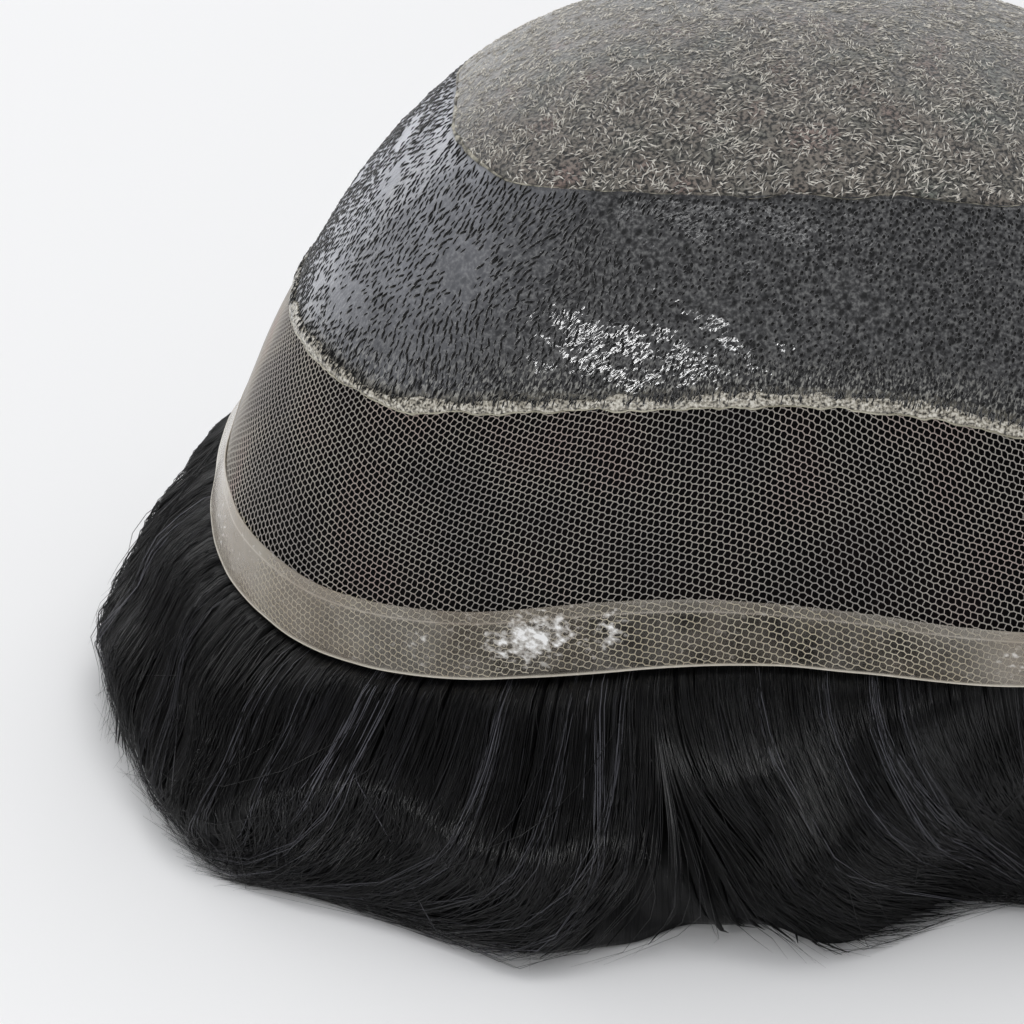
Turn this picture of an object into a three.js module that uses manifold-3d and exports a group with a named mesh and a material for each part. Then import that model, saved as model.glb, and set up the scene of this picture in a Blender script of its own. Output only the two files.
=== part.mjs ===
// A toupee hairpiece turned inside out, standing on its own hair.
// The base is a dome of net and coated gauze. Its hair lies against the inside of the dome, comes out
// under the rim and falls in locks to the surface. Millimetres, +Z up, +X to the right of the front view.
// A bearing is an angle in degrees round the dome, counterclockwise from +X, so 270 is the front.

import * as THREE from 'three';
import { mergeVertices } from 'three/addons/utils/BufferGeometryUtils.js';
import Module from 'manifold-3d';

// The dome
const RIM_HALF_LENGTH = 84.8;
const RIM_HALF_WIDTH = 58;
const DOME_RISE = 76.3;
const RIM_HEIGHT = 32;
const RIM_WAVE = 6;
const PLAN_SQUARENESS = 2.58;
const PROFILE_POWER = 2.1;
const WALL = 1;

// The zones of the base, from the rim up
const BAND_WIDTH = 8.5;
const BAND_PROUD = 0.2;
const BAND_FLARE = 2.4;
const LACE_WIDTH = 28;
const BEAD_WIDTH = 2;
const BEAD_PROUD = 0.8;
const COATED_WIDTH = 33;
const SEAM_WIDTH = 1.2;
const SEAM_PROUD = 0.3;

// The hair
const HAIR_LAYER = 9;
const HAIR_SPREAD = 22.5;
const LOCK_RELIEF = 7;
const LOCK_WIDTH = 28;
const LOCK_THICKNESS = 11;
const LOCK_ROOT_DEPTH = 6;
const TIP_SUNK = 0.5;
const FALL_POWER = 0.65;
const SWAY_POWER = 2;

// The gap between one piece and the next
const GAP = 0.3;

// How far inside the skin the hair's inner face lies, under the dome and in the fringe below it
const HAIR_INSIDE = -(WALL + GAP + HAIR_LAYER);

// Facets: round the dome, round a lock and round the bead, the steps that a climb is measured in, and
// the share of the way down where the innermost loop of a cap lies
const SEGMENTS = 54;
const LOCK_SIDES = 8;
const BEAD_SIDES = 6;
const MERIDIAN_STEPS = 120;
const CAP_START_SHARE = 0.03;

// How far the dome's side is drawn in from a plain superellipse, as shares of the rim's reach,
// at shares of the way down from the crown to the rim.
const DRAWN_IN_ROWS = [
  { down: 0, share: 0.03 },
  { down: 0.35, share: 0.05 },
  { down: 0.55, share: 0.076 },
  { down: 0.75, share: 0.067 },
  { down: 0.88, share: 0.034 },
  { down: 1, share: 0 },
];

// The rim's rise and fall as shares of RIM_WAVE, the band's flare as shares of BAND_FLARE, and the
// widths of the band, the lace and the coated ring as shares of their own named widths.
const RIM_ROWS = [
  { bearing: 0, rise: -0.3, flare: 0.3, band: 0.85, lace: 0.92, coated: 1.18 },
  { bearing: 30, rise: -0.4, flare: 0.1, band: 0.9, lace: 0.95, coated: 1.05 },
  { bearing: 60, rise: 0.1, flare: 0.1, band: 0.95, lace: 1, coated: 0.92 },
  { bearing: 90, rise: 0.4, flare: 0.1, band: 1, lace: 1, coated: 0.88 },
  { bearing: 120, rise: 0.45, flare: 0.2, band: 0.9, lace: 0.85, coated: 0.98 },
  { bearing: 150, rise: 0.48, flare: 0.6, band: 0.8, lace: 0.7, coated: 1.2 },
  { bearing: 170, rise: 0.05, flare: 1, band: 0.87, lace: 0.77, coated: 1.22 },
  { bearing: 185, rise: -0.35, flare: 0.45, band: 1, lace: 0.9, coated: 1.2 },
  { bearing: 200, rise: -0.77, flare: 0.05, band: 1.1, lace: 1.02, coated: 1.1 },
  { bearing: 215, rise: -1.05, flare: 0.05, band: 1.1, lace: 1.03, coated: 1.06 },
  { bearing: 230, rise: -0.75, flare: 0.05, band: 1.14, lace: 1.07, coated: 0.97 },
  { bearing: 245, rise: -0.1, flare: 0.05, band: 1.18, lace: 1, coated: 0.9 },
  { bearing: 258, rise: 0.38, flare: 0.05, band: 1.1, lace: 0.98, coated: 0.85 },
  { bearing: 270, rise: 0.57, flare: 0.05, band: 1, lace: 0.99, coated: 0.85 },
  { bearing: 282, rise: 0.52, flare: 0.05, band: 0.96, lace: 1.02, coated: 0.85 },
  { bearing: 295, rise: 0.3, flare: 0.05, band: 0.92, lace: 1.05, coated: 0.9 },
  { bearing: 310, rise: 0.18, flare: 0.05, band: 0.82, lace: 0.98, coated: 1 },
  { bearing: 330, rise: -0.05, flare: 0.1, band: 0.8, lace: 0.94, coated: 1.1 },
];

// The locks: the bearing where each leaves the rim and where its tip lies, how far out the tip lies
// as a share of HAIR_SPREAD, and its width as a share of LOCK_WIDTH.
const LOCK_ROWS = [
  { root: 4, tip: 8, reach: 0.88, width: 1.1 },
  { root: 17, tip: 22, reach: 0.95, width: 1.1 },
  { root: 29, tip: 32, reach: 0.85, width: 1 },
  { root: 41, tip: 46, reach: 0.95, width: 0.9 },
  { root: 54, tip: 60, reach: 0.85, width: 0.9 },
  { root: 67, tip: 73, reach: 0.95, width: 0.8 },
  { root: 80, tip: 86, reach: 0.8, width: 0.8 },
  { root: 93, tip: 98, reach: 0.9, width: 0.8 },
  { root: 106, tip: 110, reach: 0.75, width: 0.8 },
  { root: 119, tip: 122, reach: 0.9, width: 0.8 },
  { root: 132, tip: 133, reach: 0.8, width: 0.9 },
  { root: 143, tip: 142, reach: 0.95, width: 0.9 },
  { root: 153, tip: 151, reach: 0.85, width: 1 },
  { root: 164, tip: 161, reach: 0.85, width: 1 },
  { root: 175, tip: 172, reach: 0.8, width: 1.1 },
  { root: 186, tip: 184, reach: 0.9, width: 1.1 },
  { root: 197, tip: 194, reach: 0.85, width: 1 },
  { root: 207, tip: 204, reach: 0.85, width: 0.8 },
  { root: 218, tip: 214, reach: 1.05, width: 0.75 },
  { root: 226, tip: 221, reach: 0.95, width: 0.7 },
  { root: 234, tip: 228, reach: 0.9, width: 0.7 },
  { root: 241, tip: 235, reach: 1, width: 0.7 },
  { root: 247, tip: 240, reach: 1.12, width: 0.65 },
  { root: 252, tip: 246, reach: 1.2, width: 0.6 },
  { root: 256, tip: 259, reach: 0.85, width: 0.6 },
  { root: 261, tip: 270, reach: 0.75, width: 0.65 },
  { root: 269, tip: 281, reach: 0.8, width: 0.7 },
  { root: 278, tip: 290, reach: 0.45, width: 0.7 },
  { root: 288, tip: 298, reach: 0.15, width: 0.75 },
  { root: 299, tip: 307, reach: 0.25, width: 0.8 },
  { root: 310, tip: 317, reach: 0.6, width: 0.8 },
  { root: 320, tip: 325, reach: 0.9, width: 0.9 },
  { root: 331, tip: 334, reach: 0.85, width: 1 },
  { root: 343, tip: 346, reach: 0.95, width: 1.1 },
  { root: 354, tip: 358, reach: 0.85, width: 1.1 },
];

// How a lock's width and thickness go from its root to its tip.
const TAPER_ROWS = [
  { along: 0, width: 0.85, thickness: 0.7 },
  { along: 0.15, width: 0.95, thickness: 0.9 },
  { along: 0.45, width: 1, thickness: 1 },
  { along: 0.8, width: 0.9, thickness: 0.95 },
  { along: 1, width: 0.6, thickness: 0.75 },
];

// The shares of the fall from the rim to the surface where the backing's face has a row of corners.
const BACKING_FALLS = [0, 0.12, 0.35, 0.65, 1];

// The four fringes, each between two bearings. The dome's corners part them.
const FRINGES = [
  { name: 'hair_right', from: -34, to: 34 },
  { name: 'hair_back', from: 34, to: 146 },
  { name: 'hair_left', from: 146, to: 214 },
  { name: 'hair_front', from: 214, to: 326 },
];

// The value at a place between a and b on a cubic whose slope at each follows its neighbours p and q.
function cubic([p, a, b, q], at) {
  const span = b.at - a.at;
  const share = (at - a.at) / span;
  const slopeA = ((b.value - p.value) / (b.at - p.at)) * span;
  const slopeB = ((q.value - a.value) / (q.at - a.at)) * span;
  const cube = share ** 3;
  const square = share ** 2;
  return (2 * cube - 3 * square + 1) * a.value + (cube - 2 * square + share) * slopeA
    + (3 * square - 2 * cube) * b.value + (cube - square) * slopeB;
}

// A value of DRAWN_IN_ROWS. A mirrored row beyond each end makes the slope level there.
const secondRow = DRAWN_IN_ROWS[1];
const lastButOne = DRAWN_IN_ROWS[DRAWN_IN_ROWS.length - 2];
const mirroredRows = [
  { at: -secondRow.down, value: secondRow.share },
  ...DRAWN_IN_ROWS.map(({ down, share }) => ({ at: down, value: share })),
  { at: 2 - lastButOne.down, value: lastButOne.share },
];

function drawnIn(down) {
  const after = mirroredRows.findIndex((row) => row.at > down);
  const start = Math.min(after, mirroredRows.length - 2) - 2;
  return cubic(mirroredRows.slice(start, start + 4), down);
}

// A value of rows that run right round the dome, the first met again after a full turn.
function roundRows(rows, axis, key, bearing) {
  const turn = ((bearing % 360) + 360) % 360;
  const start = rows.findLastIndex((entry) => entry[axis] <= turn);
  const row = (index) => {
    const lap = Math.floor(index / rows.length);
    const entry = rows[index - lap * rows.length];
    return { at: entry[axis] + lap * 360, value: entry[key] };
  };
  return cubic([-1, 0, 1, 2].map((step) => row(start + step)), turn);
}

const atBearing = (key, bearing) => roundRows(RIM_ROWS, 'bearing', key, bearing);

// The rim's outline in plan is a superellipse. At 1 it is the rim, at 0 the dome's middle.
function planPoint(bearing, share) {
  const angle = THREE.MathUtils.degToRad(bearing);
  const along = Math.abs(Math.cos(angle) / RIM_HALF_LENGTH) ** PLAN_SQUARENESS;
  const across = Math.abs(Math.sin(angle) / RIM_HALF_WIDTH) ** PLAN_SQUARENESS;
  const reach = share * (along + across) ** (-1 / PLAN_SQUARENESS);
  return new THREE.Vector3(reach * Math.cos(angle), reach * Math.sin(angle), 0);
}

function rimHeight(bearing) {
  return RIM_HEIGHT + RIM_WAVE * atBearing('rise', bearing);
}

// A point of the dome's outer skin: down is 0 at the crown and 1 at the rim. The rim's wave fades
// out towards the crown.
function skinPoint(bearing, down) {
  const angle = (down * Math.PI) / 2;
  const power = 2 / PROFILE_POWER;
  const point = planPoint(bearing, Math.sin(angle) ** power * (1 - drawnIn(down)));
  const lift = Math.cos(angle) ** power;
  point.z = RIM_HEIGHT + DOME_RISE * lift + (rimHeight(bearing) - RIM_HEIGHT) * down ** 3;
  return point;
}

function skinNormal(bearing, down) {
  const step = 0.004;
  const above = skinPoint(bearing, Math.max(down - step, 0));
  const below = skinPoint(bearing, Math.min(down + step, 1));
  const left = skinPoint(bearing - 1, down);
  const right = skinPoint(bearing + 1, down);
  return below.sub(above).cross(right.sub(left)).normalize();
}

function offSkin(bearing, down, proud) {
  return skinPoint(bearing, down).addScaledVector(skinNormal(bearing, down), proud);
}

// How far down the dome a climb along its skin from the rim ends.
const climbs = new Map();

function downAfterClimb(bearing, climb) {
  if (!climbs.has(bearing)) {
    const lengths = [0];
    let last = skinPoint(bearing, 1);
    for (let step = 1; step <= MERIDIAN_STEPS; step += 1) {
      const point = skinPoint(bearing, 1 - step / MERIDIAN_STEPS);
      lengths.push(lengths[step - 1] + point.distanceTo(last));
      last = point;
    }
    climbs.set(bearing, lengths);
  }
  const lengths = climbs.get(bearing);
  const above = Math.max(lengths.findIndex((length) => length > climb), 1);
  const part = (climb - lengths[above - 1]) / (lengths[above] - lengths[above - 1]);
  return 1 - (above - 1 + part) / MERIDIAN_STEPS;
}

const bandTop = (bearing) => BAND_WIDTH * atBearing('band', bearing);
const laceTop = (bearing) => bandTop(bearing) + LACE_WIDTH * atBearing('lace', bearing);
const coatedTop = (bearing) => laceTop(bearing) + COATED_WIDTH * atBearing('coated', bearing);

const BEARINGS = Array.from({ length: SEGMENTS }, (_, index) => (index * 360) / SEGMENTS);

// A closed solid through loops of points of one length. A ring's last loop meets its first, and any
// other solid is capped at both ends.
function loft(loops, isRing) {
  const sides = loops[0].length;
  const points = loops.flat();
  const faces = [];
  const spans = isRing ? loops.length : loops.length - 1;
  for (let loop = 0; loop < spans; loop += 1) {
    const here = loop * sides;
    const next = ((loop + 1) % loops.length) * sides;
    for (let side = 0; side < sides; side += 1) {
      const turn = (side + 1) % sides;
      faces.push([here + side, next + side, next + turn], [here + side, next + turn, here + turn]);
    }
  }
  if (!isRing) {
    const last = (loops.length - 1) * sides;
    for (const [start, isEnd] of [[0, false], [last, true]]) {
      const middle = new THREE.Vector3();
      points.slice(start, start + sides).forEach((point) => middle.addScaledVector(point, 1 / sides));
      points.push(middle);
      for (let side = 0; side < sides; side += 1) {
        const [a, b] = [start + side, start + ((side + 1) % sides)];
        faces.push(isEnd ? [points.length - 1, b, a] : [points.length - 1, a, b]);
      }
    }
  }
  const geometry = new THREE.BufferGeometry().setFromPoints(points);
  geometry.setIndex(faces.flat());
  return facingOut(geometry);
}

// Turns every face over where the solid's volume comes out negative.
function facingOut(geometry) {
  const { position } = geometry.attributes;
  const { array } = geometry.index;
  const corner = [0, 1, 2].map(() => new THREE.Vector3());
  let volume = 0;
  for (let face = 0; face < array.length; face += 3) {
    corner.forEach((point, index) => point.fromBufferAttribute(position, array[face + index]));
    volume += corner[0].dot(corner[1].clone().cross(corner[2]));
  }
  for (let face = 0; volume < 0 && face < array.length; face += 3) {
    [array[face + 1], array[face + 2]] = [array[face + 2], array[face + 1]];
  }
  return geometry;
}

// A ring of the base between two climbs, with its outer and inner face at given heights off the skin.
function zoneRing({ low, high, outer, inner, rows, flare = () => 0 }) {
  return loft(BEARINGS.map((bearing) => {
    const [start, end] = [low(bearing), high(bearing)];
    const face = (proud) => Array.from({ length: rows + 1 }, (_, row) => {
      const share = row / rows;
      const down = downAfterClimb(bearing, start + (end - start) * share);
      return offSkin(bearing, down, proud + flare(bearing) * (1 - share) ** 2);
    });
    return [...face(outer), ...face(inner).reverse()];
  }), true);
}

// A cap of the base from a climb up to the crown.
function zoneCap({ low, outer, inner, rows }) {
  const loopAt = (share, proud) => BEARINGS.map((bearing) => {
    const edge = downAfterClimb(bearing, low(bearing));
    return offSkin(bearing, edge * share, proud);
  });
  const shares = Array.from({ length: rows + 1 }, (_, row) => (
    CAP_START_SHARE + ((1 - CAP_START_SHARE) * row) / rows));
  const under = shares.map((share) => loopAt(share, inner));
  const over = shares.map((share) => loopAt(share, outer)).reverse();
  return loft([...under, ...over], false);
}

// A round bead on the skin at a given climb, from just above the hair to its own height.
function beadRing({ climb, width, proud }) {
  const middle = (proud - WALL) / 2;
  const half = (proud + WALL) / 2;
  return loft(BEARINGS.map((bearing) => Array.from({ length: BEAD_SIDES }, (_, side) => {
    const angle = ((side + 0.5) * 2 * Math.PI) / BEAD_SIDES;
    const reach = 1 / Math.cos(Math.PI / BEAD_SIDES);
    const down = downAfterClimb(bearing, climb(bearing) + (width / 2) * Math.cos(angle) * reach);
    return offSkin(bearing, down, middle + half * Math.sin(angle));
  })), true);
}

// A point of the fringe: out is measured square to the rim in plan.
function fringePoint(bearing, out, height) {
  const before = planPoint(bearing - 1, 1);
  const tangent = planPoint(bearing + 1, 1).sub(before).normalize();
  const point = planPoint(bearing, 1);
  point.x += tangent.y * out;
  point.y -= tangent.x * out;
  point.z = height;
  return point;
}

// The reach of the hair's foot at a bearing, smoothed between the tips of the two nearest locks.
const footReach = (bearing) => HAIR_SPREAD * roundRows(LOCK_ROWS, 'tip', 'reach', bearing);

// The backing that the locks are fused to, flat where it meets the surface.
function hairBacking() {
  return loft(BEARINGS.map((bearing) => {
    const top = rimHeight(bearing) - GAP;
    const reach = footReach(bearing) - LOCK_RELIEF;
    const face = BACKING_FALLS.map((fall) => (
      fringePoint(bearing, reach * fall ** FALL_POWER, top * (1 - fall))));
    return [...face, fringePoint(bearing, HAIR_INSIDE, 0), fringePoint(bearing, HAIR_INSIDE, top)];
  }), true);
}

// The room that the base and the hair inside it take, from the rim up, so that no lock reaches into it.
function baseRoom() {
  const rows = 5;
  const clear = (bearing) => BAND_PROUD + GAP + BAND_FLARE * atBearing('flare', bearing);
  const skinLoop = (down) => BEARINGS.map((bearing) => offSkin(bearing, down, clear(bearing)));
  const footLoop = (out) => BEARINGS.map((bearing) => (
    fringePoint(bearing, out(bearing), rimHeight(bearing) - GAP)));
  const downs = Array.from({ length: rows + 1 }, (_, row) => Math.max(row / rows, CAP_START_SHARE));
  return loft([...downs.map(skinLoop), footLoop(clear), footLoop(() => HAIR_INSIDE)], false);
}

// One lock: a flattened tapering sweep that falls from under the rim and swings round to its tip.
function lock({ root, tip, reach, width }) {
  const halfWidth = (LOCK_WIDTH * width) / 2;
  const halfThickness = LOCK_THICKNESS / 2;
  const start = rimHeight(root) - LOCK_ROOT_DEPTH;
  const centre = (along) => {
    const out = -halfThickness + HAIR_SPREAD * reach * along ** FALL_POWER;
    const height = start * (1 - along) + halfThickness * TIP_SUNK * along;
    return fringePoint(root + (tip - root) * along ** SWAY_POWER, out, height);
  };
  return loft(TAPER_ROWS.map((row) => {
    const middle = centre(row.along);
    const step = 0.05;
    const run = centre(Math.min(row.along + step, 1)).sub(centre(Math.max(row.along - step, 0)));
    const outward = new THREE.Vector3(middle.x, middle.y, 0).normalize();
    const across = new THREE.Vector3().crossVectors(run, outward).normalize();
    const through = new THREE.Vector3().crossVectors(run, across).normalize();
    return Array.from({ length: LOCK_SIDES }, (_, side) => {
      const angle = (side * 2 * Math.PI) / LOCK_SIDES;
      return middle.clone()
        .addScaledVector(across, halfWidth * row.width * Math.cos(angle))
        .addScaledVector(through, halfThickness * row.thickness * Math.sin(angle));
    });
  }), false);
}

const wasm = await Module();
wasm.setup();

function toSolid(geometry) {
  return new wasm.Manifold(new wasm.Mesh({
    numProp: 3,
    vertProperties: new Float32Array(geometry.attributes.position.array),
    triVerts: new Uint32Array(geometry.index.array),
  }));
}

function toGeometry(solid) {
  const mesh = solid.getMesh();
  const geometry = new THREE.BufferGeometry();
  geometry.setAttribute('position', new THREE.BufferAttribute(mesh.vertProperties, 3));
  geometry.setIndex(new THREE.BufferAttribute(mesh.triVerts, 1));
  return geometry;
}

// An upright block that holds everything between two bearings, half a gap clear of both.
function sectorBlock({ from, to }) {
  const far = 3 * RIM_HALF_LENGTH;
  const half = THREE.MathUtils.degToRad((to - from) / 2);
  const middle = THREE.MathUtils.degToRad((to + from) / 2);
  const corners = [
    new THREE.Vector2(0, 0),
    new THREE.Vector2(far * Math.cos(half), -far * Math.sin(half)),
    new THREE.Vector2(far, 0),
    new THREE.Vector2(far * Math.cos(half), far * Math.sin(half)),
  ];
  const height = RIM_HEIGHT + DOME_RISE;
  const outline = new THREE.Shape(corners);
  const block = new THREE.ExtrudeGeometry(outline, { depth: height, bevelEnabled: false });
  block.translate(GAP / 2 / Math.sin(half), 0, 0);
  block.rotateZ(middle);
  return welded(block);
}

// The same geometry with only its places, and one vertex where several shared a place.
function welded(geometry) {
  geometry.deleteAttribute('normal');
  geometry.deleteAttribute('uv');
  return mergeVertices(geometry);
}

const hairpiece = new THREE.Group();

function add(name, geometry, { color, roughness, metalness = 0 }) {
  const mesh = new THREE.Mesh(geometry, new THREE.MeshStandardMaterial({ color, roughness, metalness }));
  mesh.name = name;
  hairpiece.add(mesh);
}

const monofilament = { color: 0x8f8a82, roughness: 0.75 };
const coatedGauze = { color: 0x55565a, roughness: 0.3 };
const creamEdge = { color: 0xc8c2aa, roughness: 0.45 };
const lace = { color: 0x6b655e, roughness: 0.7 };
const clearBand = { color: 0xb5aca0, roughness: 0.25 };
const blackHair = { color: 0x111114, roughness: 0.45 };

const halfBead = BEAD_WIDTH / 2 + GAP;
const halfSeam = SEAM_WIDTH / 2 + GAP;

add('mono_crown', zoneCap({
  low: (bearing) => coatedTop(bearing) + halfSeam, outer: 0, inner: -WALL, rows: 5,
}), monofilament);

add('crown_seam', zoneRing({
  low: (bearing) => coatedTop(bearing) - SEAM_WIDTH / 2,
  high: (bearing) => coatedTop(bearing) + SEAM_WIDTH / 2,
  outer: SEAM_PROUD, inner: -WALL, rows: 1,
}), creamEdge);

add('coated_ring', zoneRing({
  low: (bearing) => laceTop(bearing) + halfBead,
  high: (bearing) => coatedTop(bearing) - halfSeam,
  outer: 0, inner: -WALL, rows: 4,
}), coatedGauze);

add('ring_bead', beadRing({ climb: laceTop, width: BEAD_WIDTH, proud: BEAD_PROUD }), creamEdge);

add('lace_ring', zoneRing({
  low: (bearing) => bandTop(bearing) + GAP,
  high: (bearing) => laceTop(bearing) - halfBead,
  outer: 0, inner: -WALL, rows: 3,
}), lace);

add('edge_band', zoneRing({
  low: () => 0, high: bandTop, outer: BAND_PROUD, inner: -WALL, rows: 2,
  flare: (bearing) => BAND_FLARE * atBearing('flare', bearing),
}), clearBand);

add('inner_hair', zoneCap({
  low: () => 0, outer: -(WALL + GAP), inner: HAIR_INSIDE, rows: 8,
}), blackHair);

// Each fringe is its stretch of the backing with its own locks fused on, cut level where it lies.
const groundHeight = 2 * LOCK_THICKNESS;
const groundSide = 6 * RIM_HALF_LENGTH;
const ground = new THREE.BoxGeometry(groundSide, groundSide, groundHeight);
ground.translate(0, 0, -groundHeight / 2);
const noHair = toSolid(baseRoom()).add(toSolid(welded(ground)));
const backing = toSolid(hairBacking());

for (const span of FRINGES) {
  const piece = LOCK_ROWS
    .filter(({ root }) => [root, root - 360].some((turn) => turn > span.from && turn < span.to))
    .reduce((hair, row) => hair.add(toSolid(lock(row))), backing)
    .subtract(noHair)
    .intersect(toSolid(sectorBlock(span)));
  add(span.name, toGeometry(piece), blackHair);
}

// The origin is under the middle of the whole, on the surface that the hair lies on.
const box = new THREE.Box3().setFromObject(hairpiece);
const middle = box.getCenter(new THREE.Vector3());
hairpiece.position.set(-middle.x, -middle.y, -box.min.z);

export default hairpiece;
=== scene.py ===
import math

import bpy
import numpy as np
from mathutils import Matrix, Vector


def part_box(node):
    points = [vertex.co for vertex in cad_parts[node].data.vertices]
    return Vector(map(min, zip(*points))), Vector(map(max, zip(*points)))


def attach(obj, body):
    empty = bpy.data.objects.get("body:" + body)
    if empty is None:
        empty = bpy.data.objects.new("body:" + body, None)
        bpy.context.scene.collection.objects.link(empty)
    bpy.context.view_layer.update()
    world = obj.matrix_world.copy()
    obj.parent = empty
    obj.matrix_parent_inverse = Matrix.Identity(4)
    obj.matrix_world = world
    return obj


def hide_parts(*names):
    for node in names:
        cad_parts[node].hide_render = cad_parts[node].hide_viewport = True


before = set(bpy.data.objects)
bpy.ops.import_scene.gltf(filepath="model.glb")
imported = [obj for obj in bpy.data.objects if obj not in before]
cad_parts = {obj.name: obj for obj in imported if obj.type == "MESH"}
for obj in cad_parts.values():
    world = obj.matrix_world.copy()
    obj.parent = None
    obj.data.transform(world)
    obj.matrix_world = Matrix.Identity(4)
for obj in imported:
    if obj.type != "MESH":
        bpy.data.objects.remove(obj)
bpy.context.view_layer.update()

MM = 0.001

# The hairpiece stands on a seamless pale sheet in a white room that shows only dimly in glossy surfaces.
# Soft daylight comes from behind, to the right, and a broad panel lights the left from behind. Two
# narrow strip lights to the left of the camera glint in the glossy coats and on the hair.
LOOK_AT = Vector((-0.04214, 0.00243, 0.02527))
CAMERA_TURN = math.radians(7.31)
CAMERA_TILT = math.radians(28)
CAMERA_DISTANCE = 0.7
CAMERA_LENS = 166.3
SHEET_HALF = 3.0
SHEET_COLOUR = "f4f4f4"
ROOM_COLOUR = "f0f1f4"
ROOM_STRENGTH = 0.63
ROOM_IN_GLOSS = 0.12
DAYLIGHT_STRENGTH = 1.05
DAYLIGHT_TURN = math.radians(150)
DAYLIGHT_TILT = math.radians(60)
DAYLIGHT_SPREAD = math.radians(50)
STUDIO_PANELS = [
    # name, turn from the front in degrees, tilt above the sheet, distance, width, height, watts
    ("front_strip", 339, 25, 1.1, 0.5, 0.03, 2.0),
    ("upper_strip", 345, 52, 1.1, 0.5, 0.04, 0.4),
    ("back_panel", 222, 22, 1.3, 0.9, 0.7, 3.6),
]


def from_above(turn, tilt):
    """The direction towards a place round the hairpiece, turned from the front and tilted up."""
    level = math.cos(tilt)
    return Vector((math.sin(turn) * level, -math.cos(turn) * level, math.sin(tilt)))


def colour(code):
    """A colour code of red, green and blue as the linear colour that a shader takes."""
    parts = [int(code[start:start + 2], 16) / 255 for start in (0, 2, 4)]
    return [part / 12.92 if part <= 0.04045 else ((part + 0.055) / 1.055) ** 2.4 for part in parts] + [1]


def node(finish, kind, **inputs):
    """Adds a node to a finish or the room, each input set to a value or joined to another node's output."""
    made = finish.node_tree.nodes.new("ShaderNode" + kind)
    for name, value in inputs.items():
        socket = made.inputs[name.replace("_", " ")]
        if isinstance(value, bpy.types.NodeSocket):
            finish.node_tree.links.new(value, socket)
        else:
            socket.default_value = value
    return made


def grain(finish, size, detail=3.0, stretch=None):
    """An uneven pattern whose patches are about one size across, in metres."""
    place = node(finish, "TexCoord").outputs["Object"]
    if stretch:
        place = node(finish, "Mapping", Vector=place, Scale=stretch).outputs["Vector"]
    return node(finish, "TexNoise", Vector=place, Scale=1 / size, Detail=detail).outputs["Fac"]


def new_finish(name, **sockets):
    """A material and its shader, with the values that are the same all over set on the shader."""
    made = bpy.data.materials.new(name)
    made.use_nodes = True
    shader = made.node_tree.nodes["Principled BSDF"]
    for socket, value in sockets.items():
        shader.inputs[socket.replace("_", " ")].default_value = value
    return made, shader


def feed(finish, shader, **inputs):
    """Joins pattern outputs to the shader's own inputs."""
    for name, output in inputs.items():
        finish.node_tree.links.new(output, shader.inputs[name.replace("_", " ")])


def relief(finish, height, depth):
    """The surface's fine relief, whose height runs over a depth in metres."""
    return node(finish, "Bump", Height=height, Strength=1.0, Distance=depth).outputs["Normal"]


def placed(name, data):
    """A new object of the scene."""
    made = bpy.data.objects.new(name, data)
    bpy.context.scene.collection.objects.link(made)
    return made


camera_data = bpy.data.cameras.new("camera")
camera_data.lens = CAMERA_LENS
camera = placed("camera", camera_data)
camera_side = from_above(CAMERA_TURN, CAMERA_TILT)
camera.location = LOOK_AT + camera_side * CAMERA_DISTANCE
camera.rotation_euler = (-camera_side).to_track_quat("-Z", "Y").to_euler()
bpy.context.scene.camera = camera

daylight = bpy.data.lights.new("daylight", "SUN")
daylight.energy = DAYLIGHT_STRENGTH
daylight.angle = DAYLIGHT_SPREAD
window = placed("daylight", daylight)
window.rotation_euler = (-from_above(DAYLIGHT_TURN, DAYLIGHT_TILT)).to_track_quat("-Z", "Y").to_euler()

for name, turn, tilt, distance, width, height, watts in STUDIO_PANELS:
    lamp = bpy.data.lights.new(name, "AREA")
    lamp.shape = "RECTANGLE"
    lamp.size = width
    lamp.size_y = height
    lamp.energy = watts
    panel = placed(name, lamp)
    side = from_above(math.radians(turn), math.radians(tilt))
    panel.location = LOOK_AT + side * distance
    panel.rotation_euler = (-side).to_track_quat("-Z", "Y").to_euler()

bpy.context.scene.view_settings.view_transform = "Standard"
room = bpy.data.worlds.new("room")
room.use_nodes = True
room_light = room.node_tree.nodes["Background"]
room_light.inputs["Color"].default_value = colour(ROOM_COLOUR)
room_level = node(room, "MapRange", Value=node(room, "LightPath").outputs["Is Glossy Ray"],
                  To_Min=ROOM_STRENGTH, To_Max=ROOM_IN_GLOSS)
feed(room, room_light, Strength=room_level.outputs["Result"])
bpy.context.scene.world = room

paper, paper_shader = new_finish("pale_paper", Base_Color=colour(SHEET_COLOUR), Roughness=0.9)
feed(paper, paper_shader, Normal=relief(paper, grain(paper, 0.4 * MM), 0.01 * MM))
sheet_mesh = bpy.data.meshes.new("paper_sheet")
sheet_corners = [(x * SHEET_HALF, y * SHEET_HALF, 0) for x, y in ((-1, -1), (1, -1), (1, 1), (-1, 1))]
sheet_mesh.from_pydata(sheet_corners, [], [(0, 1, 2, 3)])
sheet_mesh.materials.append(paper)
paper_sheet = placed("paper_sheet", sheet_mesh)

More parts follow.
